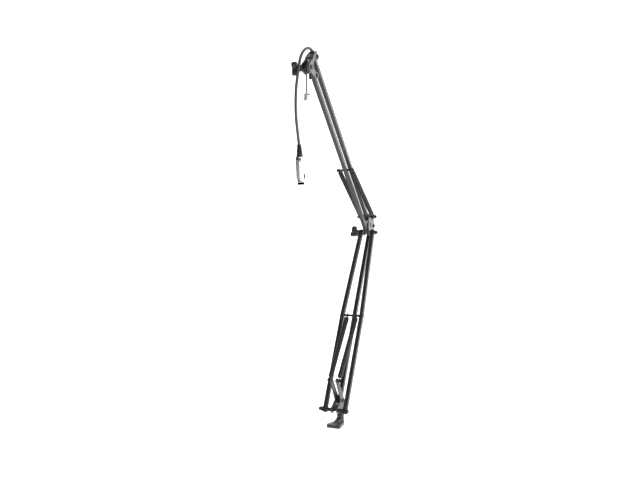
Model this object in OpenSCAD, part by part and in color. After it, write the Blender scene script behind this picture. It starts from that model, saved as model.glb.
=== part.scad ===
// Spring-balanced microphone boom arm with a swivelling foot and a built-in microphone cable.
// Millimetres. +Z is up, the pivots lie along X, and the arm folds in the YZ plane, reaching towards -Y.
// The origin is on the underside of the foot, on the swivel's axis.

/* [Tubes] */
// Outside width of the square steel tubes
tube_side = 10; // [9:0.1:10]
// Wall of the square tubes
tube_wall = 1; // [0.8:0.1:1.4]
// Corner radius of the square tubes
tube_corner = 1.4; // [1.2:0.1:2]
// How far a tube runs past its pivot
tube_tail = 5; // [4.8:0.1:5.5]

/* [Lower arm] */
// Length between the lower arm's pivots
lower_len = 470; // [440:5:500]
// Lean of the lower arm towards the back, in degrees
lower_lean = 25.3; // [18:0.1:30]
// Distance from the base rod up to the cross rod where the outer tubes bend
cross_rod_at = 238; // [225:1:250]
// Half the spacing of the outer tubes at the base
outer_half_base = 26; // [25.5:0.1:28]
// Half the spacing of the outer tubes at the elbow
outer_half_elbow = 16.2; // [16:0.1:18]

/* [Upper arm] */
// Length between the upper arm's pivots
upper_len = 470; // [440:5:500]
// Lean of the upper arm towards the front, in degrees
upper_lean = 42.6; // [35:0.1:50]
// Distance from the elbow rod up to the spring bar
spring_bar_at = 206; // [195:1:215]
// Height of the upper arm's short links
short_link = 41.5; // [40:0.5:44]

/* [Pivots] */
// Radius of the long pivot rods
rod_r = 3; // [2.8:0.1:3]
// Radial clearance of a rod in its bush
running_gap = 0.04; // [0.02:0.01:0.08]
// Radius of a nylon bush outside
bush_r = 4; // [3.9:0.1:4.2]
// Thickness of the steel cheek plates
cheek_t = 2.6; // [2:0.1:2.8]

/* [Foot] */
// Thickness of the foot plate
foot_t = 8; // [7:0.5:9]
// Length from the swivel axis to the toe
foot_toe = 44; // [42:1:52]
// Width of the toe
foot_w = 35; // [28:1:36]
// Radius of the swivel spigot
spigot_r = 5; // [4.5:0.1:5]
// Radius of the tapped holes under the foot, M6
foot_hole_r = 3; // [2.5:0.1:3.2]
// Spacing of the tapped holes under the foot
foot_hole_pitch = 18; // [16:1:18]

/* [Springs] */
// Outside radius of a spring
spring_r = 6; // [5.5:0.1:6]
// Half the spacing of the lower pair of springs
lower_spring_x = 12; // [11.5:0.1:13]
// Half the spacing of the upper pair of springs
upper_spring_x = 17; // [16:0.1:17.5]

/* [Microphone mount] */
// Radius of the microphone thread, 5/8 inch
mic_thread_r = 7.94; // [7.9:0.01:7.94]
// Length of the microphone thread
mic_thread_len = 17; // [15:0.5:20]
// Radius of the hanging rod
mic_rod_r = 3.7; // [3.2:0.1:4]
// Length of the hanging rod below the knuckle's centre
mic_rod_len = 58; // [52:1:66]

/* [Cable] */
// Diameter of the microphone cable
cable_d = 6.4; // [6:0.1:6.6]

/* [Hidden] */

// Pivots as [Y, Z]
base_pivot = [-31, 40];
link_offset = [26.5, 18];
short_offset = [0, short_link];
anchor_offset = [-5, 71.5];
knuckle_offset = [-28.5, 12];
rear_pivot = base_pivot + link_offset;
low_anchor = base_pivot + anchor_offset;
elbow_pivot = base_pivot + lower_len * [sin(lower_lean), cos(lower_lean)];
elbow_rear = elbow_pivot + link_offset;
elbow_anchor = elbow_pivot + short_offset;
cross_rod = base_pivot + cross_rod_at * [sin(lower_lean), cos(lower_lean)];
head_pivot = elbow_pivot + upper_len * [-sin(upper_lean), cos(upper_lean)];
head_top = head_pivot + short_offset;
spring_bar_c = elbow_pivot + spring_bar_at * [-sin(upper_lean), cos(upper_lean)];
knuckle_c = head_pivot + knuckle_offset;

// Sideways stations, measured along X from the middle plane
tube_half = tube_side / 2;
cheek_in = 5.9;
cheek_out = cheek_in + cheek_t;
head_in = 7.6;
head_out = head_in + cheek_t;
knuckle_half = 7;
bend = atan((outer_half_base - outer_half_elbow) / (lower_len - cross_rod_at));
elbow_leg = (lower_len - cross_rod_at) / cos(bend);

// Springs: angle from vertical and the coil's two ends, measured from the pin that carries the top
lower_spring_lean = atan((cross_rod - low_anchor)[0] / (cross_rod - low_anchor)[1]);
lower_spring_len = norm(cross_rod - low_anchor);
upper_spring_lean = atan((elbow_anchor - spring_bar_c)[0] / (spring_bar_c - elbow_anchor)[1]);
upper_spring_len = norm(spring_bar_c - elbow_anchor);
coil_gap_top = 7;
coil_gap_end = 17;
plug_len = 8;
hook_wire_r = 1;

// Cable route, chosen by hand, from the end of the link tube to the connector
cable_route = [[0, -155.2, 864.5], [-0.3, -158, 866.8], [-1, -162, 868.2], [-2.2, -167, 868.4], [-4, -173.5, 866],
    [-5.6, -180, 861.3], [-7.2, -186, 854.5], [-8.4, -190.5, 846.3], [-9.4, -194, 837], [-10, -196.5, 825],
    [-10.8, -199, 811], [-11.6, -202, 796], [-12.3, -204.8, 779], [-12.6, -206.8, 758], [-12.6, -207.4, 735],
    [-12.3, -206.2, 712], [-11.6, -203.4, 690], [-10.7, -199.7, 668], [-10, -196, 650]];
xlr_top = [-10, -196.4, 652];
xlr_tilt = 5.9;
xlr_boot_len = 26;
xlr_shell_len = 49;
xlr_nose_len = 13;
xlr_shell_r = 9.5;
xlr_nose_r = 7.6;
latch_gap = 0.25;

fine = 64;
fit = 0.02;

// --- Helpers ---------------------------------------------------------------------------------------------

// Round bar along X
module bar(x0, x1, r) { translate([x0, 0, 0]) rotate([0, 90, 0]) cylinder(h = x1 - x0, r = r, $fn = fine); }

// Turned piece along X; the outline is a list of [radius, x]
module turned(outline) { rotate([0, 90, 0]) rotate_extrude($fn = fine) polygon(outline); }

// Moves to a pivot given as [Y, Z]
module at(p) { translate([0, p[0], p[1]]) children(); }

// Flat plate whose outline is drawn in Y and Z, between two stations along X
module plate(x0, x1) { translate([x0, 0, 0]) rotate([90, 0, 90]) linear_extrude(x1 - x0) children(); }

// Flat link outline: two round ends and the tangent sides between them
module link_outline(a, ra, b, rb) {
    lap = 0.05;
    d = norm(b - a);
    dir = atan2((b - a)[1], (b - a)[0]);
    open = acos((ra - rb) / d);
    translate(a) circle(ra, $fn = fine);
    translate(b) circle(rb, $fn = fine);
    polygon([for (p = [[a, ra, 1], [b, rb, 1], [b, rb, -1], [a, ra, -1]])
        p[0] + (p[1] - lap) * [cos(dir + p[2] * open), sin(dir + p[2] * open)]]);
}

// Square outline with round corners
module round_square(side, corner) {
    flat = side - 2 * corner;
    square([side, flat], center = true);
    square([flat, side], center = true);
    for (x = [-1, 1], y = [-1, 1])
        translate([x * flat / 2, y * flat / 2]) circle(corner, $fn = 24);
}

// Outside of a straight square tube from z0 to z1, and the hollow inside one
module tube_outside(z0, z1) {
    translate([0, 0, z0]) linear_extrude(z1 - z0) round_square(tube_side, tube_corner);
}
module tube_hollow(z0, z1) {
    translate([0, 0, z0]) linear_extrude(z1 - z0) round_square(tube_side - 2 * tube_wall, tube_corner / 2);
}

// Straight tube with a bush hole at each pivot, open at both ends
module straight_tube(length) {
    difference() {
        tube_outside(-tube_tail, length + tube_tail);
        tube_hollow(-tube_tail - 1, length + tube_tail + 1);
        for (z = [0, length]) translate([0, 0, z]) bar(-tube_side, tube_side, bush_r + fit);
    }
}

// Nylon bush through a tube, proud by 0.4 mm each side
module bush(r) {
    proud = tube_half + 0.4;
    difference() {
        bar(-proud, proud, bush_r);
        bar(-proud - 1, proud + 1, r + running_gap);
    }
}

// Plug in a tube's end, with a stepped head outside; it points along +Z
module end_cap() {
    slip = 0.1;
    depth = tube_tail - bush_r - 0.1;
    translate([0, 0, -depth]) linear_extrude(depth)
        round_square(tube_side - 2 * tube_wall - slip, tube_corner / 2);
    linear_extrude(1) round_square(tube_side - 0.2, tube_corner);
    translate([0, 0, 1]) linear_extrude(0.8) round_square(tube_side - 1.6, tube_corner);
}

// Bolt along X from a low head at x1 to a lock nut at -x1
module bolt(r, x1, head_r, head_t) {
    turned([[0, -x1 - head_t], [head_r * 0.8, -x1 - head_t], [head_r, -x1 - head_t + 1], [head_r, -x1], [r, -x1],
        [r, x1], [head_r, x1], [head_r, x1 + head_t - 1], [head_r * 0.8, x1 + head_t], [0, x1 + head_t]]);
}

// Washer or spacer along X
module ring(x0, x1, r, hole_r) {
    difference() {
        bar(x0, x1, r);
        bar(x0 - 1, x1 + 1, hole_r);
    }
}

// Frames of the two arms: local +Z runs from one pivot to the next
module lower_frame(p) { at(p) rotate([-lower_lean, 0, 0]) children(); }
module upper_frame(p) { at(p) rotate([upper_lean, 0, 0]) children(); }

// --- Foot and swivel -------------------------------------------------------------------------------------

post_top = 25;
post_r = 8.5;
bush_wall = 1.5;
heel_r = 9.6;
toe_corner = 4;

module foot_outline() {
    circle(heel_r, $fn = fine);
    for (s = [-1, 1]) translate([s * (foot_w / 2 - toe_corner), -foot_toe + toe_corner]) circle(toe_corner, $fn = 32);
    edge = foot_w / 2 - toe_corner;
    polygon([[heel_r, 0], [-heel_r, 0], [-foot_w / 2, -foot_toe + toe_corner], [-edge, -foot_toe],
        [edge, -foot_toe], [foot_w / 2, -foot_toe + toe_corner]]);
}

// Cast foot: a tapering tongue with the swivel post standing on its heel and a rib in front of the post
module foot_plate() {
    socket_r = spigot_r + bush_wall;
    color("#26272a") difference() {
        union() {
            linear_extrude(foot_t) foot_outline();
            cylinder(h = post_top - 2, r = post_r, $fn = fine);
            translate([0, 0, post_top - 2]) cylinder(h = 2, r1 = post_r, r2 = post_r - 1.2, $fn = fine);
            plate(-6, 6) polygon([[-36, foot_t - 0.5], [-7, post_top - 8], [-7, foot_t - 0.5]]);
        }
        translate([0, 0, 3]) cylinder(h = post_top, r = socket_r + fit, $fn = fine);
        translate([0, 0, 17]) bar(0, post_r + 2, 2.5);
        for (y = [0, 1]) translate([0, -16 - y * foot_hole_pitch, -1])
            cylinder(h = 7, r = foot_hole_r, $fn = 32);
    }
}

// Nylon liner of the post, with a window for the set screw
module swivel_bush() {
    socket_r = spigot_r + bush_wall;
    color("#15161a") difference() {
        union() {
            translate([0, 0, 3]) cylinder(h = post_top - 3, r = socket_r, $fn = fine);
            translate([0, 0, post_top]) cylinder(h = 0.8, r = post_r - 1, $fn = fine);
        }
        translate([0, 0, 4]) cylinder(h = post_top, r = spigot_r + running_gap, $fn = fine);
        translate([0, 0, 17]) bar(0, post_r, 2.6);
    }
}

// Set screw that runs in the spigot's groove and keeps it in the post
module swivel_set_screw() {
    color("#0c0c0e") translate([0, 0, 17]) difference() {
        bar(spigot_r - 0.7, post_r - 0.3, 2.48);
        translate([post_r - 1.8, 0, 0]) rotate([0, 90, 0]) cylinder(h = 3, r = 1.4, $fn = 6);
    }
}

// Steel spigot with a groove and a collar, and the block that the two cheeks are riveted to
module swivel_spigot() {
    collar_z = post_top + 1;
    groove_r = spigot_r - 1;
    color("#2b2c30") difference() {
        union() {
            rotate_extrude($fn = fine) polygon([[0, 5], [spigot_r - 1, 5], [spigot_r, 6], [spigot_r, 14.2],
                [groove_r, 14.2], [groove_r, 19.8], [spigot_r, 19.8], [spigot_r, collar_z], [7.5, collar_z],
                [7.5, collar_z + 2.5], [0, collar_z + 2.5]]);
            translate([-cheek_in, -8, collar_z + 2]) cube([2 * cheek_in, 16, block_top - collar_z - 2]);
        }
        for (p = block_rivets) at(p) bar(-head_in, head_in, rivet_r + fit);
    }
}

// --- Base bracket ----------------------------------------------------------------------------------------

block_top = 44;
block_rivets = [[-4, 37], [4, 35]];
rivet_r = 1.8;
pin_r = 2.5;
anchor_lug_r = 6;
anchor_reach = 14;

// Boomerang plate through the base rod, the rear pivot and the springs' anchor
module base_cheek(x0, x1) {
    color("#34363a") difference() {
        union() {
            plate(x0, x1) link_outline(base_pivot, 8, rear_pivot, 9);
            plate(x0, x1) link_outline(rear_pivot, 9, low_anchor, anchor_lug_r);
            plate(x0, x1) link_outline(rear_pivot, 9, [0, 36.4], 7.6);
            plate(x0, x1) polygon([base_pivot, rear_pivot, [0, 36.4]]);
            at(rear_pivot) bar(x0, x1, 9);
        }
        at(base_pivot) bar(x0 - 1, x1 + 1, rod_r + fit);
        for (p = [rear_pivot, low_anchor]) at(p) bar(x0 - 1, x1 + 1, pin_r + fit);
        for (p = block_rivets) at(p) bar(x0 - 1, x1 + 1, rivet_r + fit);
    }
}
module base_cheek_left() { base_cheek(-cheek_out, -cheek_in); }
module base_cheek_right() { base_cheek(cheek_in, cheek_out); }

// Pivot rod of the lower arm, with a riveted head on the right
module base_rod() {
    end = outer_half_base + tube_half + 0.6;
    color("#1b1c1f") at(base_pivot) turned([[0, -end - 8], [rod_r, -end - 8], [rod_r, end], [5, end],
        [5, end + 1.4], [3.6, end + 2.6], [0, end + 2.6]]);
}

// Washer and acorn nut on the base rod's left end
module base_rod_nuts() {
    face = -(outer_half_base + tube_half + 0.6);
    color("#1b1c1f") at(base_pivot) {
        ring(face - 0.8, face, 5.6, rod_r + fit);
        difference() {
            union() {
                translate([face - 6.8, 0, 0]) rotate([0, 90, 0]) cylinder(h = 5.8, r = 5.4, $fn = 6);
                turned([[0, face - 11.5], [2.4, face - 11.2], [4, face - 10], [4.6, face - 8],
                    [4.6, face - 6], [0, face - 6]]);
            }
            bar(face - 8.4, face, rod_r + fit);
        }
    }
}

// Spacer sleeves that hold the outer tubes away from the cheeks, and the block's rivets
module base_spacers() {
    inner_face = outer_half_base - tube_half - 0.5;
    color("#232427") {
        at(base_pivot) for (s = [0, 1]) mirror([s, 0, 0]) ring(cheek_out + 0.1, inner_face, 4.6, rod_r + fit);
        for (p = block_rivets) at(p) bolt(rivet_r, cheek_out, 3, 1.2);
    }
}

// Bolt of the rear pivot
module rear_pivot_bolt() { color("#121214") at(rear_pivot) bolt(pin_r, cheek_out, 4.4, 3); }

// Two short bolts that the lower springs hook on, one riveted through the top of each cheek
module spring_anchor_bolts() {
    color("#121214") at(low_anchor) for (s = [0, 1]) mirror([s, 0, 0])
        turned([[0, cheek_in - 2.4], [3.4, cheek_in - 2.4], [4.2, cheek_in - 1.6], [4.2, cheek_in], [pin_r, cheek_in],
            [pin_r, anchor_reach], [4.4, anchor_reach], [4.4, anchor_reach + 1.8], [3.5, anchor_reach + 2.8],
            [0, anchor_reach + 2.8]]);
}

// --- Lower arm -------------------------------------------------------------------------------------------

cross_rod_r = 2.8;

// Moves to the slanted upper leg of an outer tube
module elbow_leg_frame(s) {
    translate([s * outer_half_base, 0, cross_rod_at]) rotate([0, -s * bend, 0]) children();
}

// Everything on one side of the mitre where an outer tube's two legs meet; side 0 is above it, -1 below it
module mitre_side(s, side) {
    reach = 30;
    translate([s * outer_half_base, 0, cross_rod_at]) rotate([0, -s * bend / 2, 0])
        translate([-reach / 2, -reach / 2, side * reach]) cube(reach);
}

// Hollow leg, open at both ends
module tube_leg(z0, z1) {
    difference() {
        tube_outside(z0, z1);
        tube_hollow(z0 - 1, z1 + 1);
    }
}

// Outer tube: parallel to its twin below the cross rod, drawn in towards the elbow above it
module outer_tube(s) {
    color("#1a1b1e") lower_frame(base_pivot) difference() {
        union() {
            difference() {
                translate([s * outer_half_base, 0, 0]) tube_leg(-tube_tail, cross_rod_at + 2);
                mitre_side(s, 0);
            }
            difference() {
                elbow_leg_frame(s) tube_leg(-2, elbow_leg + tube_tail);
                mitre_side(s, -1);
            }
        }
        translate([s * outer_half_base, 0, 0]) bar(-tube_side, tube_side, bush_r + fit);
        translate([s * outer_half_elbow, 0, lower_len]) bar(-tube_side, tube_side, bush_r + fit);
        translate([s * outer_half_base, 0, cross_rod_at]) bar(-tube_side, tube_side, cross_rod_r + fit);
    }
}
module outer_tube_left() { outer_tube(-1); }
module outer_tube_right() { outer_tube(1); }

// Four nylon bushes, two on the base rod and two on the elbow rod
module outer_tube_bushes() {
    color("#0f1012") lower_frame(base_pivot) for (s = [-1, 1]) {
        translate([s * outer_half_base, 0, 0]) bush(rod_r);
        translate([s * outer_half_elbow, 0, lower_len]) bush(rod_r);
    }
}

// Plastic plugs in the outer tubes' ends
module outer_tube_caps() {
    color("#0f1012") lower_frame(base_pivot) for (s = [-1, 1]) {
        translate([s * outer_half_base, 0, -tube_tail]) rotate([180, 0, 0]) end_cap();
        elbow_leg_frame(s) translate([0, 0, elbow_leg + tube_tail]) end_cap();
    }
}

// Rod across the outer tubes that carries the lower springs
module mid_cross_rod() {
    end = outer_half_base + tube_half;
    color("#1a1b1e") at(cross_rod) turned([[0, -end - 1.4], [2, -end - 1.4], [cross_rod_r, -end - 0.6],
        [cross_rod_r, end + 0.6], [2, end + 1.4], [0, end + 1.4]]);
}

// Middle tube: the rear side of the lower parallelogram
module middle_tube() { color("#1a1b1e") lower_frame(rear_pivot) straight_tube(lower_len); }

// Bushes and end plugs of the middle tube
module middle_tube_bushes() {
    color("#0f1012") lower_frame(rear_pivot) {
        for (z = [0, lower_len]) translate([0, 0, z]) bush(pin_r);
        translate([0, 0, -tube_tail]) rotate([180, 0, 0]) end_cap();
        translate([0, 0, lower_len + tube_tail]) end_cap();
    }
}

// --- Elbow -----------------------------------------------------------------------------------------------

standoff = elbow_pivot + [20, 36];
standoff_r = 2.5;
knob_reach = 17;
knob_lobe_r = 4.8;

// Cheek that keeps the elbow upright, with a lightening slot
module elbow_cheek(x0, x1) {
    slot_low = elbow_pivot + [4, 17];
    slot_high = elbow_pivot + [5, 25];
    color("#34363a") difference() {
        union() {
            plate(x0, x1) link_outline(elbow_pivot, 8.5, elbow_anchor, 7.5);
            plate(x0, x1) link_outline(elbow_anchor, 7.5, standoff, 6);
            plate(x0, x1) link_outline(standoff, 6, elbow_rear, 8);
            plate(x0, x1) link_outline(elbow_rear, 8, elbow_pivot, 8.5);
            plate(x0, x1) polygon([elbow_pivot, elbow_anchor, standoff, elbow_rear]);
            at(elbow_pivot) bar(x0, x1, 8.5);
        }
        plate(x0 - 1, x1 + 1) link_outline(slot_low, 2.6, slot_high, 2.6 + fit);
        at(elbow_pivot) bar(x0 - 1, x1 + 1, rod_r + fit);
        for (p = [elbow_rear, elbow_anchor, standoff]) at(p) bar(x0 - 1, x1 + 1, pin_r + fit);
    }
}
module elbow_cheek_left() { elbow_cheek(-cheek_out, -cheek_in); }
module elbow_cheek_right() { elbow_cheek(cheek_in, cheek_out); }

// Riveted stand-off between the elbow's cheeks
module elbow_standoff() {
    color("#232427") at(standoff) turned([[0, -cheek_out - 1.2], [3.8, -cheek_out - 1.2], [4.2, -cheek_out],
        [standoff_r, -cheek_out], [standoff_r, -cheek_in], [4, -cheek_in], [4, cheek_in], [standoff_r, cheek_in],
        [standoff_r, cheek_out], [4.2, cheek_out], [3.8, cheek_out + 1.2], [0, cheek_out + 1.2]]);
}

elbow_face = outer_half_elbow + tube_half + 0.6;

// Pivot rod of the elbow, threaded at the left for the knob
module elbow_rod() { color("#1b1c1f") at(elbow_pivot) bar(-elbow_face - 16, elbow_face + 6, rod_r); }

// Acorn nut on the elbow rod's right end
module elbow_rod_nut() {
    x = elbow_face + 0.9;
    color("#1b1c1f") at(elbow_pivot) difference() {
        turned([[0, x], [4.9, x], [4.9, x + 4.6], [4.2, x + 6.6], [2.6, x + 8], [0, x + 8.4]]);
        bar(x - 1, x + 5.4, rod_r + fit);
    }
}

// Washers on the elbow rod
module elbow_washers() {
    color("#3a3b3f") at(elbow_pivot) {
        for (s = [0, 1]) mirror([s, 0, 0]) {
            ring(cheek_out + 0.1, outer_half_elbow - tube_half - 0.6, 5, rod_r + fit);
            ring(elbow_face, elbow_face + 0.8, 6.5, rod_r + fit);
        }
    }
}

// Bolt of the middle tube's upper end
module elbow_rear_bolt() { color("#121214") at(elbow_rear) bolt(pin_r, cheek_out, 4.4, 3); }

// Long bolt that carries the link tube and the lower hooks of the upper springs
module elbow_anchor_bolt() { color("#121214") at(elbow_anchor) bolt(pin_r, 24, 4.4, 2.6); }

// Three-lobed clamping knob along X from its face at x0 to its hub's end at x1, first lobe at the given angle
module lobed_knob(x0, x1, turn) {
    lobe_end = x0 + 12;
    difference() {
        union() {
            plate(x0, lobe_end) for (k = [0:2]) {
                a = turn + 120 * k;
                link_outline([0, 0], 8, (knob_reach - knob_lobe_r) * [cos(a), sin(a)], knob_lobe_r);
            }
            bar(lobe_end - 1, x1, 7);
        }
        bar(x0 + 2, x1 + 1, 5);
    }
}

// Threaded metal insert moulded into a knob
module knob_insert(x0, x1) {
    difference() {
        bar(x0 + 2, x1, 5 - fit);
        bar(x0 + 3, x1 + 1, rod_r + running_gap);
    }
}

elbow_knob_x = [-elbow_face - 19.5, -elbow_face - 1];
module elbow_knob() { color("#141416") at(elbow_pivot) lobed_knob(elbow_knob_x[0], elbow_knob_x[1], 90); }
module elbow_knob_insert() { color("#8a8c90") at(elbow_pivot) knob_insert(elbow_knob_x[0], elbow_knob_x[1]); }

// --- Upper arm -------------------------------------------------------------------------------------------

// Boom tube: the lower, load-bearing tube of the upper arm, with a solid round end at the elbow
module boom_tube() {
    solid = 6;
    color("#1a1b1e") upper_frame(elbow_pivot) difference() {
        union() {
            tube_outside(0, upper_len + tube_tail);
            bar(-tube_half, tube_half, tube_half);
        }
        tube_hollow(solid, upper_len + tube_tail + 1);
        for (z = [0, upper_len]) translate([0, 0, z]) bar(-tube_side, tube_side, bush_r + fit);
        translate([0, 0, spring_bar_at]) bar(-tube_side, tube_side, cross_rod_r + fit);
    }
}

// Bushes of the boom tube and its end plug
module boom_tube_bushes() {
    color("#0f1012") upper_frame(elbow_pivot) {
        bush(rod_r);
        translate([0, 0, upper_len]) bush(pin_r);
        translate([0, 0, upper_len + tube_tail]) end_cap();
    }
}

// Bar through the boom tube that the upper springs hang on
module spring_bar() {
    end = 20.5;
    color("#1a1b1e") at(spring_bar_c) turned([[0, -end - 2.2], [3.4, -end - 2.2], [4.2, -end - 1.2],
        [4.2, -end], [cross_rod_r, -end], [cross_rod_r, end], [4.2, end], [4.2, end + 1.2], [3.4, end + 2.2],
        [0, end + 2.2]]);
}

// Link tube: the upper side of the upper parallelogram; the cable comes out of its head end
module link_tube() { color("#1a1b1e") upper_frame(elbow_anchor) straight_tube(upper_len); }

// Bushes of the link tube and the plug in its elbow end
module link_tube_bushes() {
    color("#0f1012") upper_frame(elbow_anchor) {
        for (z = [0, upper_len]) translate([0, 0, z]) bush(pin_r);
        translate([0, 0, -tube_tail]) rotate([180, 0, 0]) end_cap();
    }
}

// --- Head ------------------------------------------------------------------------------------------------

web_tilt = 42;
web_t = 2.6;
web_off = 8.8;
web_low = -19;
web_high = 7.5;
gland_at = 3;
web_normal = [-sin(web_tilt), cos(web_tilt)];
web_along = [cos(web_tilt), sin(web_tilt)];
crescent_at = -2.1;
crescent_r = 14.9;
web_c = head_top + web_off * web_normal;

// Cheek of the head bracket: three lugs with a crescent cut out of the back
module head_cheek(x0, x1) {
    edge_r = web_t / 2 + 0.4;
    high = web_c + (web_high - edge_r) * web_along;
    low = web_c + (web_low + edge_r) * web_along;
    color("#3c3e42") difference() {
        union() {
            plate(x0, x1) link_outline(head_top, 7.5, knuckle_c, 11);
            plate(x0, x1) link_outline(head_pivot, 7.5, knuckle_c, 11);
            plate(x0, x1) link_outline(high, edge_r, low, edge_r);
            plate(x0, x1) polygon([head_top, high, low, knuckle_c]);
            plate(x0, x1) polygon([head_pivot, head_top, knuckle_c]);
            at(knuckle_c) bar(x0, x1, 11);
        }
        for (p = [head_pivot, head_top]) at(p) bar(x0 - 1, x1 + 1, pin_r + fit);
        at(knuckle_c) bar(x0 - 1, x1 + 1, rod_r + fit);
        at(head_pivot + [crescent_at, short_link / 2]) bar(x0 - 1, x1 + 1, crescent_r);
    }
}
module head_cheek_left() { head_cheek(-head_out, -head_in); }
module head_cheek_right() { head_cheek(head_in, head_out); }

// Web that joins the head's cheeks, drilled for the cable's boot
module head_web() {
    color("#26272a") at(web_c) rotate([web_tilt, 0, 0]) difference() {
        translate([-head_in, web_low, -web_t / 2]) cube([2 * head_in, web_high - web_low, web_t]);
        translate([0, gland_at, -web_t]) cylinder(h = 2 * web_t, r = 3.6, $fn = fine);
    }
}

// Bolts of the head's two arm pivots, with the washers that centre the tubes
module head_pivot_bolts() {
    color("#121214") for (p = [head_pivot, head_top]) at(p) {
        bolt(pin_r, head_out, 4.4, 3);
        for (s = [0, 1]) mirror([s, 0, 0]) ring(tube_half + 0.6, head_in - 0.1, 4.2, pin_r + fit);
    }
}

// Rubber boot that the cable comes out of
module cable_boot() {
    boot_len = 5.5;
    color("#101012") at(web_c + gland_at * web_along) rotate([web_tilt, 0, 0]) difference() {
        rotate_extrude($fn = fine) polygon([[0, -web_t / 2], [3.6 - fit, -web_t / 2], [3.6 - fit, web_t / 2 + 0.1],
            [5.4, web_t / 2 + 0.1], [5.4, web_t / 2 + 1.6], [4.6, web_t / 2 + 2.2], [4, boot_len], [0, boot_len]]);
        translate([0, 0, -web_t]) cylinder(h = boot_len + 5, r = cable_d / 2 - 0.05, $fn = fine);
    }
}

head_knob_x = [-34.5, -head_out - 1];

// Carriage bolt through the knuckle; its left end carries the knob
module knuckle_bolt() {
    color("#121214") at(knuckle_c) difference() {
        turned([[0, head_knob_x[0] + 3.2], [rod_r, head_knob_x[0] + 3.2], [rod_r, head_out], [5.5, head_out], [5.5, head_out + 1.6],
            [4.2, head_out + 2.8], [0, head_out + 2.8]]);
        translate([head_out + 1.9, -0.7, -6]) cube([2, 1.4, 12]);
    }
}

// Friction washers between the knuckle and the cheeks, and the thrust washer under the knob
module friction_washers() {
    color("#55575b") at(knuckle_c) {
        for (s = [0, 1]) mirror([s, 0, 0]) ring(knuckle_half + 0.05, head_in - 0.05, 12.5, rod_r + fit);
        ring(-head_out - 0.9, -head_out - 0.05, 7.5, rod_r + fit);
    }
}

// Knuckle that the microphone rod screws into
module mic_knuckle() {
    r = 14.8;
    h = knuckle_half;
    color("#141416") at(knuckle_c) difference() {
        turned([[0, -h], [r - 1.6, -h], [r, -h + 1.6], [r, h - 1.6], [r - 1.6, h], [0, h]]);
        bar(-h - 1, h + 1, rod_r + running_gap);
        translate([0, 0, -r - 1]) cylinder(h = 11, r = mic_rod_r + fit, $fn = fine);
        translate([0, -4, 6]) cylinder(h = 12, r = 2 + fit, $fn = 32);
    }
}

// Chromed rod that hangs from the knuckle
module mic_rod() {
    color("#c9ccd1") at(knuckle_c) translate([0, 0, -mic_rod_len])
        cylinder(h = mic_rod_len - 5, r = mic_rod_r, $fn = fine);
}

// Locking screw on top of the knuckle
module knuckle_lock_screw() {
    color("#121214") at(knuckle_c) {
        translate([0, -4, 6.5]) cylinder(h = 9, r = 2, $fn = 32);
        translate([0, -4, 14.9]) cylinder(h = 3.4, r = 3, $fn = 32);
    }
}

// Microphone thread adapter: collar, undercut and male thread
module thread_adapter() {
    collar_t = 3.4;
    neck_t = 1;
    r = mic_thread_r;
    color("#d4d6da") at(knuckle_c) translate([0, 0, -mic_rod_len]) rotate([180, 0, 0])
        rotate_extrude($fn = fine) polygon([[0, 0.02], [r + 0.3, 0.02], [r + 0.7, 0.5], [r + 0.7, collar_t],
            [r - 1, collar_t], [r - 1, collar_t + neck_t], [r, collar_t + neck_t], [r, mic_thread_len - 0.8],
            [r - 0.8, mic_thread_len], [0, mic_thread_len]]);
}

module head_knob() { color("#141416") at(knuckle_c) lobed_knob(head_knob_x[0], head_knob_x[1], 10); }
module head_knob_insert() { color("#8a8c90") at(knuckle_c) knob_insert(head_knob_x[0], head_knob_x[1]); }

// --- Springs ---------------------------------------------------------------------------------------------

hook_gap = 0.3;

// Wire ring round a pin along X
module hook_ring(r) {
    rotate([0, 90, 0]) rotate_extrude($fn = fine)
        translate([r + hook_gap + hook_wire_r, 0]) circle(hook_wire_r, $fn = 16);
}

// Spring in its own frame, its top pin at the origin and its far pin straight above: the coil, a hook at the
// top, and a hook or a solid eye at the far pin
module spring_body(length, top_r, end_r, eye) {
    reach_top = top_r + hook_gap + hook_wire_r;
    reach_end = end_r + hook_gap + hook_wire_r;
    hook_ring(top_r);
    translate([0, 0, reach_top]) cylinder(h = coil_gap_top - reach_top + 1, r = hook_wire_r, $fn = 16);
    translate([0, 0, coil_gap_top]) cylinder(h = length - coil_gap_top - coil_gap_end, r = spring_r, $fn = fine);
    translate([0, 0, length - coil_gap_end - 1])
        cylinder(h = coil_gap_end + 1 - reach_end, r = hook_wire_r, $fn = 16);
    if (!eye) translate([0, 0, length]) hook_ring(end_r);
    if (eye) difference() {
        translate([0, 0, length - coil_gap_end + plug_len]) cylinder(h = 13, r = spring_r, $fn = fine);
        translate([0, 0, length]) bar(-spring_r - 1, spring_r + 1, end_r + hook_gap);
    }
}

// Steel collar crimped on a spring's far end
module spring_plug(length) {
    translate([0, 0, length - coil_gap_end]) difference() {
        cylinder(h = plug_len, r = spring_r, $fn = fine);
        translate([0, 0, -1]) cylinder(h = plug_len + 2, r = hook_wire_r + fit, $fn = 16);
    }
}

// Frames of the spring pairs: local +Z runs from the pin on the arm to the anchor
module lower_spring_frame() {
    at(cross_rod) rotate([180 - lower_spring_lean, 0, 0]) for (s = [-1, 1])
        translate([s * lower_spring_x, 0, 0]) children();
}
module upper_spring_frame() {
    at(spring_bar_c) rotate([180 + upper_spring_lean, 0, 0]) for (s = [-1, 1])
        translate([s * upper_spring_x, 0, 0]) children();
}
module lower_springs() {
    color("#0b0b0d") lower_spring_frame() spring_body(lower_spring_len, cross_rod_r, pin_r, false);
}
module lower_spring_plugs() { color("#161618") lower_spring_frame() spring_plug(lower_spring_len); }
module upper_springs() {
    color("#0b0b0d") upper_spring_frame() spring_body(upper_spring_len, cross_rod_r, pin_r, true);
}
module upper_spring_plugs() { color("#161618") upper_spring_frame() spring_plug(upper_spring_len); }

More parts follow.
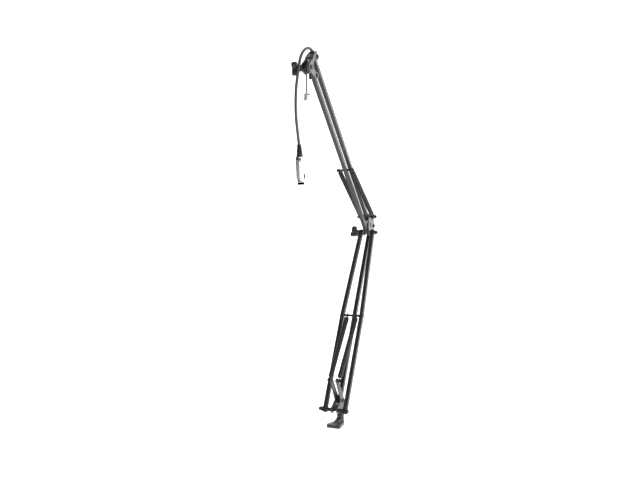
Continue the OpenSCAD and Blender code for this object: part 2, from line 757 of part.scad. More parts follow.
// --- Cable and connector ---------------------------------------------------------------------------------

cable_sides = 10;

// Tangent of the route at point i, and the ring of points round it
function tangent(i) = let (n = len(cable_route), a = cable_route[max(i - 1, 0)], b = cable_route[min(i + 1, n - 1)])
    (b - a) / norm(b - a);
function cable_ring(i) = let (t = tangent(i), u0 = cross(t, [1, 0, 0]), u = u0 / norm(u0), v = cross(t, u))
    [for (k = [0:cable_sides - 1]) let (a = 360 * k / cable_sides)
        cable_route[i] + cable_d / 2 * (cos(a) * u + sin(a) * v)];

// Free end of the microphone cable
module mic_cable() {
    n = len(cable_route);
    m = cable_sides;
    points = [for (i = [0:n - 1]) each cable_ring(i)];
    sides = [for (i = [0:n - 2], k = [0:m - 1])
        [i * m + k, i * m + (k + 1) % m, (i + 1) * m + (k + 1) % m, (i + 1) * m + k]];
    first = [for (k = [m - 1:-1:0]) k];
    last = [for (k = [0:m - 1]) (n - 1) * m + k];
    color("#3a3c40") polyhedron(points, concat([first, last], sides));
}

// Connector frame: origin at the boot's cable end, local +Z along the connector towards its mouth
module xlr_frame() { translate(xlr_top) rotate([180 + xlr_tilt, 0, 0]) children(); }
mouth_z = xlr_boot_len + xlr_shell_len + xlr_nose_len;

// Rubber bend protector of the connector
module xlr_boot() {
    color("#151517") xlr_frame() difference() {
        rotate_extrude($fn = fine) polygon([[0, 0], [4.6, 0], [5, 0.6], [6.6, xlr_boot_len - 4],
            [7.4, xlr_boot_len - 3], [7.4, xlr_boot_len], [0, xlr_boot_len]]);
        translate([0, 0, -1]) cylinder(h = xlr_boot_len + 2, r = cable_d / 2 - 0.05, $fn = fine);
    }
}

latch_z = xlr_boot_len + xlr_shell_len - 6.5;

// Die-cast shell of the connector, with a pocket for the latch
module xlr_shell() {
    z0 = xlr_boot_len;
    z1 = z0 + xlr_shell_len;
    color("#d0d2d6") xlr_frame() difference() {
        rotate_extrude($fn = fine) polygon([[0, z0 + 0.05], [8.6, z0 + 0.05], [xlr_shell_r, z0 + 2],
            [xlr_shell_r, z1 - 0.8], [xlr_shell_r - 0.8, z1], [xlr_nose_r, z1], [xlr_nose_r, mouth_z - 0.6],
            [xlr_nose_r - 0.6, mouth_z], [0, mouth_z]]);
        translate([0, 0, z0 - 1]) cylinder(h = mouth_z, r = 6.4, $fn = fine);
        translate([xlr_nose_r, -2.6, latch_z - 4.6]) cube([4, 5.2, 9.2]);
    }
}

// Insulating insert with three socket holes and a keyway
module xlr_insert() {
    pitch_r = 3.8;
    color("#131315") xlr_frame() difference() {
        translate([0, 0, mouth_z - 16]) cylinder(h = 15, r = 6.4 - fit, $fn = fine);
        for (k = [0:2]) rotate([0, 0, 120 * k + 30]) translate([pitch_r, 0, mouth_z - 15])
            cylinder(h = 15, r = 1.7 + fit, $fn = 32);
        translate([-1, 5, mouth_z - 9]) cube([2, 3, 9]);
    }
}

// Three gold-plated socket contacts
module xlr_contacts() {
    pitch_r = 3.8;
    color("#c9a24a") xlr_frame() for (k = [0:2]) rotate([0, 0, 120 * k + 30])
        translate([pitch_r, 0, mouth_z - 15]) difference() {
            cylinder(h = 13.4, r = 1.7, $fn = 32);
            translate([0, 0, 3]) cylinder(h = 12, r = 1.2, $fn = 32);
        }
}

// Push latch in the shell's side
module xlr_latch() {
    base_x = xlr_nose_r + 1.5;
    color("#17171a") xlr_frame() translate([base_x, -2.6 + latch_gap, latch_z - 4.6 + latch_gap])
        cube([xlr_shell_r - base_x + 1.4, 5.2 - 2 * latch_gap, 9.2 - 2 * latch_gap]);
}

foot_plate();
swivel_bush();
swivel_set_screw();
swivel_spigot();
base_cheek_left();
base_cheek_right();
base_rod();
base_rod_nuts();
base_spacers();
rear_pivot_bolt();
spring_anchor_bolts();
outer_tube_left();
outer_tube_right();
outer_tube_bushes();
outer_tube_caps();
mid_cross_rod();
middle_tube();
middle_tube_bushes();
elbow_cheek_left();
elbow_cheek_right();
elbow_standoff();
elbow_rod();
elbow_rod_nut();
elbow_washers();
elbow_rear_bolt();
elbow_anchor_bolt();
elbow_knob();
elbow_knob_insert();
boom_tube();
boom_tube_bushes();
spring_bar();
link_tube();
link_tube_bushes();
cable_boot();
head_cheek_left();
head_cheek_right();
head_web();
head_pivot_bolts();
knuckle_bolt();
mic_knuckle();
friction_washers();
mic_rod();
knuckle_lock_screw();
thread_adapter();
head_knob();
head_knob_insert();
lower_springs();
lower_spring_plugs();
upper_springs();
upper_spring_plugs();
mic_cable();
xlr_boot();
xlr_shell();
xlr_insert();
xlr_contacts();
xlr_latch();
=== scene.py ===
# Spring-balanced microphone boom arm on a swivelling foot, with its own cable and connector.
# It is put together here from the foot upwards, in metres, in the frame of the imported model.
import bpy
import bmesh
import math
from mathutils import Matrix, Vector


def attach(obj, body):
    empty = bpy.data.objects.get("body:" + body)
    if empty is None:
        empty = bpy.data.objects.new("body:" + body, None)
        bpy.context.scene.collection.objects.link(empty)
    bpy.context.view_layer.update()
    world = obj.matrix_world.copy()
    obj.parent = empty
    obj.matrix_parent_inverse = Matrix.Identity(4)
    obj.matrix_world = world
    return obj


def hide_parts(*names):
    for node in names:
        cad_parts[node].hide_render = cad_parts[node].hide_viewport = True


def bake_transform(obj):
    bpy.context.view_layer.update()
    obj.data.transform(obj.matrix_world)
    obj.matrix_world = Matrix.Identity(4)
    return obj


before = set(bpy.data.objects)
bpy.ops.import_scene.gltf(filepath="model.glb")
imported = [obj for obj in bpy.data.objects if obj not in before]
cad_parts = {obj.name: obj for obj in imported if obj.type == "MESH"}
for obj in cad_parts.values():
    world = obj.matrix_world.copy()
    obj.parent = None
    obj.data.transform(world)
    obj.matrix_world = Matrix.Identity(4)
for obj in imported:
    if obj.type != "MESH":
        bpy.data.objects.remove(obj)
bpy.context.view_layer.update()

# --- Camera ------------------------------------------------------------------------------------------------
# A level camera at elbow height, standing in front of the arm and a little to its right.
camera = bpy.data.objects.new("camera", bpy.data.cameras.new("camera"))
bpy.context.scene.collection.objects.link(camera)
camera.data.lens = 38.91
camera.data.sensor_width = 36
camera.data.clip_start = 0.05
camera.location = (0.6872, -1.5280, 0.4449)
camera.rotation_euler = (math.radians(90), 0, math.radians(25.91))
bpy.context.scene.camera = camera


# --- Cable -------------------------------------------------------------------------------------------------
# Round microphone cable with a matt grey jacket. It leaves a rubber boot in the head's web, bends over
# forwards and hangs to the connector.
def surface(name, colour, rough, spread=0.08, grain=0.4, relief=0.01, metallic=0.0, edge=0.25, shift=0.15,
            stretch=(1, 1, 1)):
    """A finish with uneven colour, gloss and grain; grain, relief and edge are in millimetres."""
    patch_size = 40 * grain
    colour_low, colour_high, colour_out = 6, 7, 2
    material = bpy.data.materials.new(name)
    material["slot"] = name
    material.use_nodes = True
    nodes = material.node_tree.nodes
    links = material.node_tree.links
    shader = nodes["Principled BSDF"]
    shader.inputs["Metallic"].default_value = metallic
    where = nodes.new("ShaderNodeTexCoord")
    pull = nodes.new("ShaderNodeMapping")
    pull.inputs["Scale"].default_value = stretch
    links.new(where.outputs["Object"], pull.inputs["Vector"])
    patches = nodes.new("ShaderNodeTexNoise")
    patches.inputs["Scale"].default_value = 1000 / patch_size
    patches.inputs["Detail"].default_value = 3
    links.new(pull.outputs["Vector"], patches.inputs["Vector"])
    tint = nodes.new("ShaderNodeMix")
    tint.data_type = "RGBA"
    tint.inputs[colour_low].default_value = [c * (1 - shift) for c in colour] + [1]
    tint.inputs[colour_high].default_value = [min(1, c * (1 + shift)) for c in colour] + [1]
    links.new(patches.outputs["Fac"], tint.inputs[0])
    links.new(tint.outputs[colour_out], shader.inputs["Base Color"])
    speckle = nodes.new("ShaderNodeTexNoise")
    speckle.inputs["Scale"].default_value = 1000 / grain
    speckle.inputs["Detail"].default_value = 4
    links.new(pull.outputs["Vector"], speckle.inputs["Vector"])
    both = nodes.new("ShaderNodeMath")
    both.operation = "ADD"
    links.new(patches.outputs["Fac"], both.inputs[0])
    links.new(speckle.outputs["Fac"], both.inputs[1])
    gloss = nodes.new("ShaderNodeMapRange")
    gloss.inputs["From Min"].default_value = 0.7
    gloss.inputs["From Max"].default_value = 1.3
    gloss.inputs["To Min"].default_value = max(0.03, rough - spread)
    gloss.inputs["To Max"].default_value = rough + spread
    links.new(both.outputs[0], gloss.inputs["Value"])
    links.new(gloss.outputs["Result"], shader.inputs["Roughness"])
    corner = nodes.new("ShaderNodeBevel")
    corner.samples = 4
    corner.inputs["Radius"].default_value = edge / 1000
    bump = nodes.new("ShaderNodeBump")
    bump.inputs["Strength"].default_value = 1
    bump.inputs["Distance"].default_value = relief / 1000
    links.new(speckle.outputs["Fac"], bump.inputs["Height"])
    links.new(corner.outputs["Normal"], bump.inputs["Normal"])
    links.new(bump.outputs["Normal"], shader.inputs["Normal"])
    return material


cable_route = [(0, -155.2, 864.5), (-0.3, -158, 866.8), (-1, -162, 868.0), (-2.2, -167, 868.1),
               (-4, -173.5, 866), (-5.6, -180, 861.3), (-7.2, -186, 854.5), (-8.4, -190.5, 846.3),
               (-9.4, -194, 837), (-10, -196.5, 825), (-10.8, -199, 811), (-11.6, -202, 796),
               (-12.3, -204.8, 779), (-12.6, -206.8, 758), (-12.6, -207.3, 735), (-12.3, -206.2, 712),
               (-11.6, -203.4, 690), (-10.7, -199.7, 668), (-10, -196, 650)]
cable_radius = 0.0032
cable_curve = bpy.data.curves.new("microphone_lead", "CURVE")
cable_curve.dimensions = "3D"
cable_curve.bevel_depth = cable_radius
cable_curve.bevel_resolution = 6
cable_curve.resolution_u = 8
cable_curve.use_fill_caps = True
cable_line = cable_curve.splines.new("BEZIER")
cable_line.bezier_points.add(len(cable_route) - 1)
for point, place in zip(cable_line.bezier_points, cable_route):
    point.co = [c / 1000 for c in place]
    point.handle_left_type = "AUTO"
    point.handle_right_type = "AUTO"
cable = bpy.data.objects.new("microphone_lead", cable_curve)
bpy.context.scene.collection.objects.link(cable)
cable_jacket = surface("cable_jacket", (0.05, 0.052, 0.057), 0.48, spread=0.07, grain=0.5, relief=0.02)
cable_curve.materials.append(cable_jacket)
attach(cable, "head")
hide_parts("mic_cable")


# --- Cable boot --------------------------------------------------------------------------------------------
# Moulded rubber boot with soft rings, pushed through the head's web from outside.
def lofted(levels, count=48):
    """Closed piece along +Z; each level is a height and a radius, or a radius for each angle."""
    bm = bmesh.new()
    bmesh.ops.create_circle(bm, cap_ends=True, segments=count, radius=1)
    bm.faces.ensure_lookup_table()
    cap = bm.faces[0]
    angles = {}
    for vert in cap.verts:
        angles[vert] = math.atan2(vert.co.y, vert.co.x)
    for step, (height, radius) in enumerate(levels):
        if step:
            old = [vert.co.copy() for vert in cap.verts]
            old_angles = [angles[vert] for vert in cap.verts]
            grown = bmesh.ops.extrude_face_region(bm, geom=[cap])["geom"]
            cap = next(g for g in grown if isinstance(g, bmesh.types.BMFace))
            for vert in cap.verts:
                near = min(range(len(old)), key=lambda k: (old[k] - vert.co).length)
                angles[vert] = old_angles[near]
        for vert in cap.verts:
            a = angles[vert]
            r = radius(a) if callable(radius) else radius
            vert.co = (r * math.cos(a), r * math.sin(a), height)
    return bm


def piece(name, parts, material, body, *stands_for, crease=32):
    """One object from shells drawn in millimetres, each with its place in the frame."""
    whole = bmesh.new()
    for bm, place in parts:
        bm.transform(place)
        bmesh.ops.recalc_face_normals(bm, faces=bm.faces)
        shell = bpy.data.meshes.new("shell")
        bm.to_mesh(shell)
        bm.free()
        whole.from_mesh(shell)
        bpy.data.meshes.remove(shell)
    whole.transform(Matrix.Scale(0.001, 4))
    for face in whole.faces:
        face.smooth = True
    for line in whole.edges:
        line.smooth = line.calc_face_angle(0) < math.radians(crease)
    mesh = bpy.data.meshes.new(name)
    whole.to_mesh(mesh)
    whole.free()
    mesh.materials.append(material)
    made = bpy.data.objects.new(name, mesh)
    bpy.context.scene.collection.objects.link(made)
    if body:
        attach(made, body)
    if stands_for:
        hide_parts(*stands_for)
    return made


rubber_black = surface("rubber_black", (0.016, 0.016, 0.017), 0.55, spread=0.08, grain=0.3, relief=0.015)
head_boot_tilt = math.radians(42)
head_boot_place = Matrix.Translation((0, -151.93, 860.93)) @ Matrix.Rotation(head_boot_tilt, 4, "X")
head_boot_levels = [(-1.3, 3.55), (1.4, 3.55), (1.42, 5.2), (1.7, 5.4), (2.3, 5.4), (2.6, 5.1), (2.7, 4.5),
                    (3.0, 4.45), (3.1, 4.9), (3.6, 4.9), (3.75, 4.3), (4.1, 4.3), (4.2, 4.6), (4.7, 4.6),
                    (4.85, 4.1), (5.4, 3.95), (5.5, 3.5)]
piece("head_boot", [(lofted(head_boot_levels), head_boot_place)], rubber_black, "head", "cable_boot")


# --- Connector ---------------------------------------------------------------------------------------------
# Three-contact microphone connector: slotted rubber boot, satin nickel shell with a turned band, moulded
# insert with gold sockets, and a ridged push latch in a pocket of the shell.
connector_top = (-10, -196.4, 652)
connector_tilt = math.radians(185.9)
connector = Matrix.Translation(connector_top) @ Matrix.Rotation(connector_tilt, 4, "X")
boot_levels = [(0, 4.1), (0.3, 4.5), (1.2, 4.7)]
boot_slots = 7
slot_pitch = 2.7
slot_depth = 0.6
for slot in range(boot_slots):
    base = 1.8 + slot_pitch * slot
    wide = 4.9 + 0.22 * slot
    boot_levels += [(base, wide), (base + 0.15, wide - slot_depth), (base + 0.75, wide - slot_depth),
                    (base + 0.9, wide + 0.08)]
boot_levels += [(21.2, 6.55), (22.4, 6.8), (23, 7.3), (23.4, 7.4), (25.7, 7.4), (26, 7.2)]
connector_boot = piece("connector_boot", [(lofted(boot_levels, 64), connector)], rubber_black, "head",
                       "xlr_boot")

nickel_satin = surface("nickel_satin", (0.84, 0.84, 0.83), 0.2, spread=0.05, grain=0.25, relief=0.0005,
                       metallic=1.0, shift=0.04, stretch=(1, 1, 8))
shell = lofted([(26.05, 8.2), (26.5, 8.8), (27.6, 9.3), (28.2, 9.5), (33.6, 9.5), (33.8, 9.2), (34.4, 9.2),
                (34.6, 9.5), (36, 9.5), (36.2, 9.2), (36.8, 9.2), (37, 9.5), (63.9, 9.5), (73.1, 9.5),
                (74.4, 9.5), (74.9, 9.2), (75, 8.7), (75.01, 7.6), (86.8, 7.6), (87.5, 7.35), (88, 6.9),
                (87.9, 6.45), (70, 6.42)], 72)
pocket_ends = (64, 73)
pocket_half_angle = math.radians(15)
pocket_depth = 1.85
shell.normal_update()
pocket = []
for face in shell.faces:
    middle = face.calc_center_median()
    within = abs(math.atan2(middle.y, middle.x)) < pocket_half_angle
    if within and pocket_ends[0] < middle.z < pocket_ends[1]:
        pocket.append(face)
sunk = bmesh.ops.extrude_face_region(shell, geom=pocket)["geom"]
for vert in [g for g in sunk if isinstance(g, bmesh.types.BMVert)]:
    vert.co.x -= pocket_depth
bmesh.ops.delete(shell, geom=pocket, context="FACES")
connector_shell = piece("connector_shell", [(shell, connector)], nickel_satin, "head", "xlr_shell")

insert_plastic = surface("insert_plastic", (0.015, 0.015, 0.016), 0.4, grain=0.3, relief=0.006)
gold_contact = surface("gold_contact", (0.83, 0.62, 0.26), 0.22, grain=0.2, relief=0.002, metallic=1.0,
                       edge=0.1)


def dress(material, *names):
    """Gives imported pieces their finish."""
    for name in names:
        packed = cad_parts[name]
        packed.data.materials.clear()
        packed.data.materials.append(material)


dress(insert_plastic, "xlr_insert")
dress(gold_contact, "xlr_contacts")


def block(low, high, edge=0.0):
    """Box between two corners, with its edges rounded."""
    bm = bmesh.new()
    bmesh.ops.create_cube(bm, size=1)
    low, high = Vector(low), Vector(high)
    for vert in bm.verts:
        vert.co = [l + (c + 0.5) * (h - l) for c, l, h in zip(vert.co, low, high)]
    if edge:
        bmesh.ops.bevel(bm, geom=bm.edges, offset=edge, segments=2, profile=0.5, affect="EDGES", material=-1)
    return bm


latch_parts = [(block((9.1, -2.3, 64.2), (10.4, 2.3, 72.8), 0.25), connector)]
latch_ridges = 4
latch_ridge_pitch = 1.5
for ridge in range(latch_ridges):
    z = 65.6 + latch_ridge_pitch * ridge
    latch_parts.append((block((10.2, -2.0, z), (10.9, 2.0, z + 0.8), 0.2), connector))
connector_latch = piece("connector_latch", latch_parts, insert_plastic, "latch", "xlr_latch")


# --- Foot --------------------------------------------------------------------------------------------------
# Cast foot with a satin black coat: a tapering tongue with the swivel's post on its heel. It is screwed
# down from below; the post has a fillet round it.
def spun(outline, steps=64):
    """Ring turned round Z from a closed outline of radius and height."""
    bm = bmesh.new()
    corners = [bm.verts.new((r, 0, z)) for r, z in outline]
    lines = [bm.edges.new((corners[k], corners[k - 1])) for k in range(len(corners))]
    bmesh.ops.spin(bm, geom=corners + lines, cent=(0, 0, 0), axis=(0, 0, 1), angle=2 * math.pi, steps=steps,
                   use_merge=True)
    return bm


foot_cast = surface("foot_cast", (0.026, 0.027, 0.029), 0.46, spread=0.1, grain=0.5, relief=0.05, edge=0.9)
dress(foot_cast, "foot_plate")
fillet = spun([(8.3, 7.9), (9.3, 7.9), (9.0, 8.1), (8.75, 8.45), (8.6, 8.9), (8.52, 9.6), (8.3, 9.6)])
piece("post_fillet", [(fillet, Matrix())], foot_cast, "foot")

# --- Swivel ------------------------------------------------------------------------------------------------
# Nylon liner in the post, a blackened steel spigot that turns in it, and the set screw that keeps it there.
nylon_black = surface("nylon_black", (0.014, 0.014, 0.015), 0.5, grain=0.3, relief=0.008)
black_steel = surface("black_steel", (0.022, 0.022, 0.024), 0.36, spread=0.09, grain=0.3, relief=0.006,
                      metallic=0.25, edge=0.2, shift=0.25)
dress(nylon_black, "swivel_bush")
dress(black_steel, "swivel_set_screw", "swivel_spigot")

# --- Base bracket ------------------------------------------------------------------------------------------
# Two pressed steel cheeks riveted to the spigot's block. They hold the arm's base rod, the rear pivot and
# two short bolts that the lower springs hook on.
# Painted light: the cheeks and webs get a lighter grey copy of the tubes' black coat, standing in for the
# side light on their faces.
cheek_dark = surface("cheek_dark", (0.062, 0.064, 0.069), 0.4, spread=0.07, grain=0.35, relief=0.012,
                     edge=0.35)
dress(cheek_dark, "base_cheek_left", "base_cheek_right")
dress(black_steel, "base_rod", "base_rod_nuts", "base_spacers")


def crosswise(x, pivot, flip=False):
    """Place for a piece drawn along +Z: along +X, or along -X if flipped, from that station on a pivot."""
    turn = Matrix(((0, 0, 1, 0), (1, 0, 0, 0), (0, 1, 0, 0), (0, 0, 0, 1)))
    if flip:
        turn = Matrix(((0, 0, -1, 0), (1, 0, 0, 0), (0, -1, 0, 0), (0, 0, 0, 1)))
    return Matrix.Translation((x, pivot[0], pivot[1])) @ turn


def hexagon(flat):
    """Radius of a hexagon for each angle, from half its width across flats."""
    return lambda a: flat / math.cos((a + math.pi / 6) % (math.pi / 3) - math.pi / 6)


def through_bolt(half, pivot, head_t=2.8, shaft=2.5):
    """Bolt with a socket head on the right, and a lock nut with its nylon ring on the left."""
    key, spanner = 1.5, 3.75
    head = lofted([(0, 4.1), (0.3, 4.4), (head_t - 0.8, 4.4), (head_t - 0.2, 4.1), (head_t, 3.6),
                   (head_t - 0.05, hexagon(key)), (head_t - 1.6, hexagon(key))])
    nut = lofted([(0, 3.9), (0.25, hexagon(spanner)), (head_t - 1.1, hexagon(spanner)), (head_t - 0.8, 3.7),
                  (head_t - 0.3, 3.3), (head_t - 0.1, 2.9), (head_t - 0.3, 2.6), (head_t - 0.1, 2.4)])
    stem = lofted([(0, shaft - 0.2), (0.2, shaft), (2 * half - 0.2, shaft), (2 * half, shaft - 0.2)])
    return [(head, crosswise(half, pivot)), (nut, crosswise(-half, pivot, True)),
            (stem, crosswise(-half, pivot))]


base_pivot = (-31, 40)
rear_pivot = (-4.5, 58)
low_anchor = (-36, 111.5)
cheeks_half = 8.5
piece("rear_pivot_screw", through_bolt(cheeks_half, rear_pivot), black_steel, "base_bracket",
      "rear_pivot_bolt")
anchor_screw_levels = [(3.9, 3.4), (4.1, 3.6), (4.9, 4.2), (6.3, 4.2), (6.35, 2.5), (14, 2.5),
                       (14.05, 4.1), (14.3, 4.4), (16, 4.4), (16.6, 4.1), (16.8, 3.6),
                       (16.75, hexagon(1.5)), (15.2, hexagon(1.5))]
anchor_screws = []
for flip in (False, True):
    anchor_screws.append((lofted(anchor_screw_levels), crosswise(0, low_anchor, flip)))
piece("anchor_screws", anchor_screws, black_steel, "base_bracket", "spring_anchor_bolts")

# --- Lower arm ---------------------------------------------------------------------------------------------
# Two outer tubes of square steel, powder-coated black, that close in above the cross rod, and the middle
# tube behind them. Nylon bushes and plugs are pressed into every tube.
powder_black = surface("powder_black", (0.022, 0.022, 0.0245), 0.4, spread=0.06, grain=0.55, relief=0.03,
                       edge=0.3, shift=0.2)
dress(powder_black, "outer_tube_left", "outer_tube_right", "middle_tube")
dress(nylon_black, "outer_tube_bushes", "outer_tube_caps", "middle_tube_bushes")
dress(black_steel, "mid_cross_rod")

# --- Elbow -------------------------------------------------------------------------------------------------
# Two upright cheeks with a stand-off between them. The elbow rod carries an acorn nut on the right and the
# clamping knob on the left.
elbow_pivot = (169.86, 464.92)
elbow_rear = (196.36, 482.92)
elbow_anchor = (169.86, 506.42)
washer_steel = surface("washer_steel", (0.3, 0.3, 0.31), 0.4, grain=0.3, relief=0.004, metallic=1.0)
dress(cheek_dark, "elbow_cheek_left", "elbow_cheek_right")
dress(black_steel, "elbow_standoff", "elbow_rod")
dress(washer_steel, "elbow_washers")
anchor_half = 24
piece("elbow_rear_screw", through_bolt(cheeks_half, elbow_rear), black_steel, "elbow", "elbow_rear_bolt")
piece("elbow_anchor_screw", through_bolt(anchor_half, elbow_anchor, 2.6), black_steel, "elbow",
      "elbow_anchor_bolt")
acorn = lofted([(0, 4.4), (0.3, hexagon(4.25)), (3.6, hexagon(4.25)), (4.1, 4.3), (5.4, 4.2), (6.7, 3.6),
                (7.7, 2.6), (8.2, 1.5), (8.4, 0.6)])
acorn_face = 22.7
piece("elbow_acorn_nut", [(acorn, crosswise(acorn_face, elbow_pivot))], black_steel, "elbow",
      "elbow_rod_nut")


def knob_shells(x0, x1, pivot, turn):
    """Three-lobed hand knob with rounded rims, a dished face and a hub towards the joint."""
    waist, lobe_height, lobe_count = 8.6, 8.4, 3

    def lobes(inset):
        def radius(a):
            wave = (1 + math.cos(lobe_count * (a - math.radians(turn)))) / 2
            return waist + lobe_height * wave ** 1.5 - inset
        return radius

    length = x1 - x0
    body = lofted([(0.5, 5.2), (0.3, 6.2), (0, 6.9), (0, lobes(1.7)), (0.35, lobes(0.9)), (1, lobes(0.35)),
                   (2, lobes(0.06)), (3, lobes(0)), (9.2, lobes(0)), (10.4, lobes(0.15)), (11.3, lobes(0.7)),
                   (11.8, lobes(1.5)), (12, lobes(2.4)), (12.01, 7.3), (12.3, 7), (length - 0.3, 7),
                   (length, 6.7), (length, 5), (length - 1, 5)], 96)
    return [(body, crosswise(x0, pivot))]


knob_plastic = surface("knob_plastic", (0.018, 0.018, 0.0195), 0.42, spread=0.07, grain=0.28, relief=0.02)
insert_metal = surface("insert_metal", (0.5, 0.5, 0.5), 0.3, grain=0.2, relief=0.003, metallic=1.0)
piece("elbow_clamp_knob", knob_shells(-41.3, -22.8, elbow_pivot, 90), knob_plastic, "elbow_hand_knob",
      "elbow_knob")
dress(insert_metal, "elbow_knob_insert")

# --- Upper arm ---------------------------------------------------------------------------------------------
# The boom tube below and the link tube above it, of the same square steel. The spring bar goes through the
# boom tube.
dress(powder_black, "boom_tube", "link_tube")
dress(nylon_black, "boom_tube_bushes", "link_tube_bushes")
dress(black_steel, "spring_bar")

# --- Springs -----------------------------------------------------------------------------------------------
# Two pairs of close-wound tension springs of blackened wire. Each has a hook on the arm's pin, and a crimped
# collar on the other end with a hook, or on the upper pair an eye, for the anchor.
spring_bar_at = (30.42, 616.55)
cross_rod_at = (70.71, 255.17)
spring_steel = surface("spring_steel", (0.02, 0.02, 0.022), 0.36, spread=0.08, grain=0.3, relief=0.004,
                       metallic=0.3)


def wound(radius, wire, start, end, pitch, sides=8, per_turn=20):
    """Close-wound coil along +Z."""
    bm = bmesh.new()
    bmesh.ops.create_circle(bm, cap_ends=True, segments=sides, radius=wire)
    bm.transform(Matrix.Translation((radius - wire, 0, start)) @ Matrix.Rotation(math.pi / 2, 4, "X"))
    steps = round((end - start) / pitch * per_turn)
    bmesh.ops.spin(bm, geom=bm.verts[:] + bm.edges[:] + bm.faces[:], cent=(0, 0, 0), axis=(0, 0, 1),
                   dvec=(0, 0, (end - start) / steps), angle=2 * math.pi * steps / per_turn, steps=steps,
                   use_merge=False)
    return bm


def spring_pair(label, pin, lean, length, spread, hangers, ends, nodes, eye=False):
    """Both springs of a pair: the coils, and their hooks and collars on the two pins."""
    coils, tops, tails = [], [], []
    coil_start, coil_stop = 8, length - 18
    wire = 1.0
    coil = wound(5.95, wire, coil_start, coil_stop, 2.04)

    def hook_ring(radius):
        corners = [(radius + wire * math.cos(k * math.pi / 5), wire * math.sin(k * math.pi / 5))
                   for k in range(10)]
        return spun(corners, 40)

    for side in (-1, 1):
        place = (Matrix.Translation((side * spread, pin[0], pin[1]))
                 @ Matrix.Rotation(math.radians(180 + lean), 4, "X"))
        hook = Matrix(((0, 0, 1, 0), (1, 0, 0, 0), (0, 1, 0, 0), (0, 0, 0, 1)))
        coils.append((coil.copy(), place))
        tops.append((hook_ring(4.1), place @ hook))
        neck = lofted([(4.1, 1.0), (6.4, 1.0), (6.6, 3.4), (7.2, 5.0), (9.5, 5.0), (9.6, 3.0)])
        tops.append((neck, place))
        if eye:
            ring = spun([(2.8, -3.8), (3.2, -4.2), (5.4, -4.2), (6, -3.6), (6, 3.6), (5.4, 4.2), (3.2, 4.2),
                         (2.8, 3.8)])
            tails.append((lofted([(length - 10, 5.5), (length - 5.3, 5.4), (length - 4.6, 4.6)]), place))
        else:
            ring = hook_ring(3.8)
        tails.append((ring, place @ Matrix.Translation((0, 0, length)) @ hook))
        collar = lofted([(length - 19, 3.0), (length - 19, 4.6), (length - 17, 4.8), (length - 16.9, 5.9),
                         (length - 16.5, 6.0), (length - 11.6, 6.0), (length - 11.2, 5.5),
                         (length - 10.4, 5.5), (length - 10, 5.9), (length - 9.2, 5.7), (length - 9, 5.2),
                         (length - 8.4, 2.2), (length - 7.6, 1.0), (length - 3.8, 1.0)])
        tails.append((collar, place))
    coil.free()
    pair = piece(label + "_coils", coils, spring_steel, None, nodes[0], crease=50)
    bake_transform(pair)
    piece(label + "_top_hooks", tops, spring_steel, hangers, nodes[0])
    piece(label + "_collars", tails, black_steel, ends, nodes[1])


spring_pair("lower", cross_rod_at, -36.6, 178.96, 12, "lower_spring_hangers", "lower_spring_ends",
            ("lower_springs", "lower_spring_plugs"))
spring_pair("upper", spring_bar_at, 51.72, 177.7, 17, "upper_spring_hangers", "upper_spring_ends",
            ("upper_springs", "upper_spring_plugs"), eye=True)

# --- Head --------------------------------------------------------------------------------------------------
# Pressed head bracket on the two tubes: two cheeks with a web across the top. A slotted bolt clamps the
# knuckle between friction washers, with a second hand knob on the left.
head_pivot = (-148.27, 810.88)
head_top = (-148.27, 852.38)
knuckle_c = (-176.77, 822.88)
dress(cheek_dark, "head_cheek_left", "head_cheek_right", "head_web")
dress(black_steel, "knuckle_bolt")
dress(washer_steel, "friction_washers")
head_half = 10.2
tube_face = 5.6
head_bolts = through_bolt(head_half, head_pivot, 3) + through_bolt(head_half, head_top, 3)
for pivot in (head_pivot, head_top):
    for flip, x in ((False, tube_face), (True, -tube_face)):
        spacer = spun([(2.52, 0), (4.2, 0), (4.2, 1.9), (2.52, 1.9)])
        head_bolts.append((spacer, crosswise(x, pivot, flip)))
piece("head_screws", head_bolts, black_steel, "head", "head_pivot_bolts")
piece("head_clamp_knob", knob_shells(-34.5, -11.2, knuckle_c, 10), knob_plastic, "head_hand_knob",
      "head_knob")
dress(insert_metal, "head_knob_insert")

# --- Microphone mount --------------------------------------------------------------------------------------
# Moulded knuckle with the chromed rod screwed in from below and a lock screw on top. The rod carries the
# thread that the microphone's clip or shock mount screws on.
knuckle = lofted([(-7, 9), (-6.6, 9.6), (-6.6, 12.6), (-7, 13.2), (-6.8, 13.9), (-6.2, 14.5), (-5.2, 14.8),
                  (-1, 14.8), (-0.7, 14.45), (0.7, 14.45), (1, 14.8), (5.2, 14.8), (6.2, 14.5), (6.8, 13.9),
                  (7, 13.2), (6.6, 12.6), (6.6, 9.6), (7, 9)], 96)
piece("knuckle_moulding", [(knuckle, crosswise(0, knuckle_c))], knob_plastic, "mic_mount", "mic_knuckle")
dress(black_steel, "knuckle_lock_screw")
chrome = surface("chrome", (0.82, 0.83, 0.84), 0.09, spread=0.04, grain=0.3, relief=0.001, metallic=1.0,
                 shift=0.03, stretch=(1, 1, 5))
dress(chrome, "mic_rod")


def knurl(radius, depth, count):
    """Radius of a knurled rim for each angle."""
    return lambda a: radius - depth * (0.5 - 0.5 * math.cos(count * a))


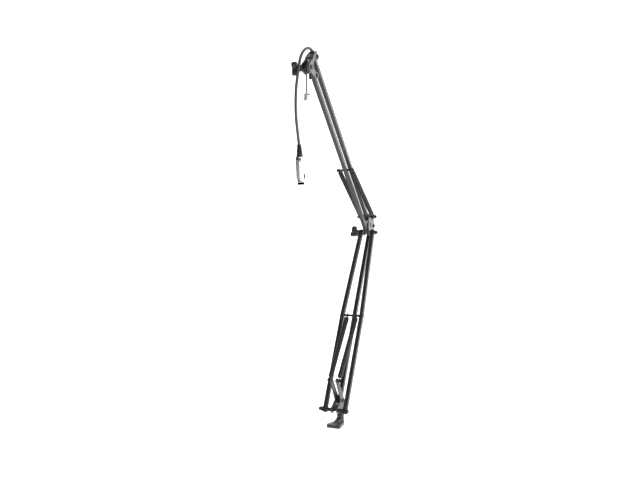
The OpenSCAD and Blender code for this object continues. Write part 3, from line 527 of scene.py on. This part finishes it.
collar_rim = knurl(8.6, 0.3, 48)
adapter = lofted([(0, 7.6), (0.1, 8.2), (0.5, collar_rim), (2.9, collar_rim), (3.3, 8.2), (3.4, 7.4),
                  (3.5, 6.9), (4.4, 6.9), (4.5, 7.3), (16.3, 7.3), (17, 6.7)], 288)
ridge = bmesh.new()
bmesh.ops.create_circle(ridge, cap_ends=True, segments=3, radius=0.5)
for vert, corner in zip(ridge.verts, ((7.2, 4.6), (7.94, 5.0), (7.2, 5.4))):
    vert.co = (corner[0], 0, corner[1])
thread_pitch = 0.94
thread_turns = 11.6
thread_steps = round(thread_turns * 48)
bmesh.ops.spin(ridge, geom=ridge.verts[:] + ridge.edges[:] + ridge.faces[:], cent=(0, 0, 0), axis=(0, 0, 1),
               dvec=(0, 0, thread_pitch * thread_turns / thread_steps), angle=2 * math.pi * thread_turns,
               steps=thread_steps, use_merge=False)
rod_length = 58
rod_end = (0, knuckle_c[0], knuckle_c[1] - rod_length)
mount_place = Matrix.Translation(rod_end) @ Matrix.Rotation(math.pi, 4, "X")
piece("adapter", [(adapter, mount_place), (ridge, mount_place)], chrome, "mic_mount", "thread_adapter")

# --- Room --------------------------------------------------------------------------------------------------
# Pale floor that curves up into a wall behind, a pale room, and large soft lamps: one on the right, one
# behind on the right, one in front and one that lights the wall.
sweep = bmesh.new()
floor_end = 1.6
floor_half = 6
bend_steps = 12
profile = [(-5.0, 0.0), (floor_end, 0.0)]
for k in range(1, bend_steps + 1):
    a = math.radians(90 * k / bend_steps)
    profile.append((floor_end + math.sin(a), 1 - math.cos(a)))
profile.append((floor_end + 1, 5.0))
rail = [sweep.verts.new((-floor_half, y, z)) for y, z in profile]
lines = [sweep.edges.new((rail[k], rail[k + 1])) for k in range(len(rail) - 1)]
drawn = bmesh.ops.extrude_edge_only(sweep, edges=lines)["geom"]
for vert in [g for g in drawn if isinstance(g, bmesh.types.BMVert)]:
    vert.co.x += 2 * floor_half
for face in sweep.faces:
    face.smooth = True
floor_mesh = bpy.data.meshes.new("floor")
sweep.to_mesh(floor_mesh)
sweep.free()
floor = bpy.data.objects.new("floor", floor_mesh)
bpy.context.scene.collection.objects.link(floor)
paper = surface("paper", (0.9, 0.9, 0.9), 0.8, spread=0.05, grain=2, relief=0.01, shift=0.01)
paper_shader = paper.node_tree.nodes["Principled BSDF"]
paper_shader.inputs["Emission Color"].default_value = (1, 1, 1, 1)
paper_shader.inputs["Emission Strength"].default_value = 0.75
floor_mesh.materials.append(paper)

world = bpy.data.worlds.new("room")
world.use_nodes = True
room_nodes = world.node_tree.nodes
room_links = world.node_tree.links
pale = (0.95, 0.96, 1.0, 1)
dim_light = room_nodes["Background"]
dim_light.inputs["Color"].default_value = pale
dim_light.inputs["Strength"].default_value = 0.1
seen_wall = room_nodes.new("ShaderNodeBackground")
seen_wall.inputs["Color"].default_value = pale
seen_wall.inputs["Strength"].default_value = 0.9
ray = room_nodes.new("ShaderNodeLightPath")
either = room_nodes.new("ShaderNodeMixShader")
room_links.new(ray.outputs["Is Camera Ray"], either.inputs["Fac"])
room_links.new(dim_light.outputs["Background"], either.inputs[1])
room_links.new(seen_wall.outputs["Background"], either.inputs[2])
room_links.new(either.outputs["Shader"], room_nodes["World Output"].inputs["Surface"])
bpy.context.scene.world = world
bpy.context.scene.view_settings.view_transform = "Standard"


def lamp(name, place, target, size, power):
    """Soft square lamp aimed at a point."""
    light = bpy.data.lights.new(name, "AREA")
    light.size = size
    light.energy = power
    made = bpy.data.objects.new(name, light)
    made.location = place
    made.rotation_euler = (Vector(target) - Vector(place)).to_track_quat("-Z", "Y").to_euler()
    bpy.context.scene.collection.objects.link(made)


lamp("key", (2.4, -0.2, 1.3), (0, 0, 0.45), 1.6, 32)
lamp("back", (1.55, 1.65, 0.7), (0, 0, 0.45), 1.3, 26)
lamp("front", (1.25, -1.9, 0.75), (0, 0, 0.6), 2.4, 22)
lamp("wall_wash", (0, 0.9, 3.6), (-0.4, 2.6, 0.8), 2.5, 60)
